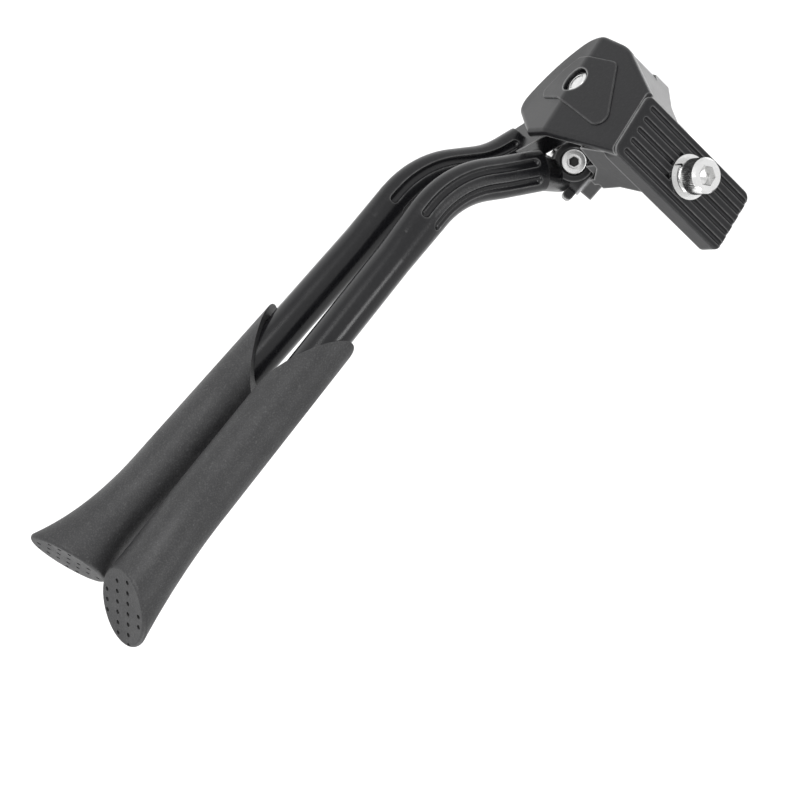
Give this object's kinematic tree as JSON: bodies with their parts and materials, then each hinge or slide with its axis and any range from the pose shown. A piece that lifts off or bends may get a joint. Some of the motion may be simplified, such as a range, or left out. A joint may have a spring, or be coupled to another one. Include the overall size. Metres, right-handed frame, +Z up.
{
  "type": "double-leg bicycle kickstand",
  "caption": "Double-leg bicycle centre stand with a ribbed clamp head, faceted side cover, bent legs that fold back together, and rubber sleeve feet.",
  "frame": {"origin": "where the clamp bolt's axis meets the plane of the platform's rib tops", "axes": "+Z up along the clamp bolt, +X forward on the bicycle (the folded legs point to -X), +Y to its left"},
  "size_m": [0.3431, 0.1547, 0.1261],
  "materials": {
    "black_casting": "satin black paint",
    "black_leg": "satin black paint",
    "black_rubber": "matte, finely grained",
    "bright_bolt": "bright zinc plate",
    "bright_pin": "turned steel",
    "spring_steel": "plain spring steel",
    "bronze": "oiled bearing bronze"
  },
  "bodies": {
    "head": {"mount_head": "black_casting", "side_cover": "black_casting", "clamp_bolt": "bright_bolt", "spring_washer": "bright_bolt", "flat_washer": "bright_bolt", "main_pivot_pin": "bright_pin", "main_pivot_clip": "spring_steel", "right_pivot_pin": "bright_pin", "right_pivot_clip": "spring_steel", "left_inner_washer": "spring_steel", "left_outer_washer": "spring_steel", "right_free_washer": "spring_steel", "right_back_washer": "spring_steel"},
    "left_side": {"left_leg": "black_leg", "left_foot": "black_rubber", "left_hub_bush": "bronze"},
    "right_side": {"right_leg": "black_leg", "right_foot": "black_rubber", "right_hub_bush": "bronze", "hub_plug": "bright_bolt", "detent_ball": "spring_steel", "detent_spring": "spring_steel"}
  },
  "joints": [
    {"name": "left_swing", "type": "hinge", "parent": "head", "child": "left_side", "pos_m": [0.018, 0.033, -0.043], "axis": [0, -1, 0], "range_deg": [0, 93]},
    {"name": "right_swing", "type": "hinge", "parent": "head", "child": "right_side", "pos_m": [0.002, 0.0127, -0.0717], "axis": [-0.1275, -0.9013, 0.4141], "range_deg": [0, 111.11]}
  ],
  "couplings": [
    {"joint": "right_swing", "follows": "left_swing", "ratio": 1.1942}
  ]
}
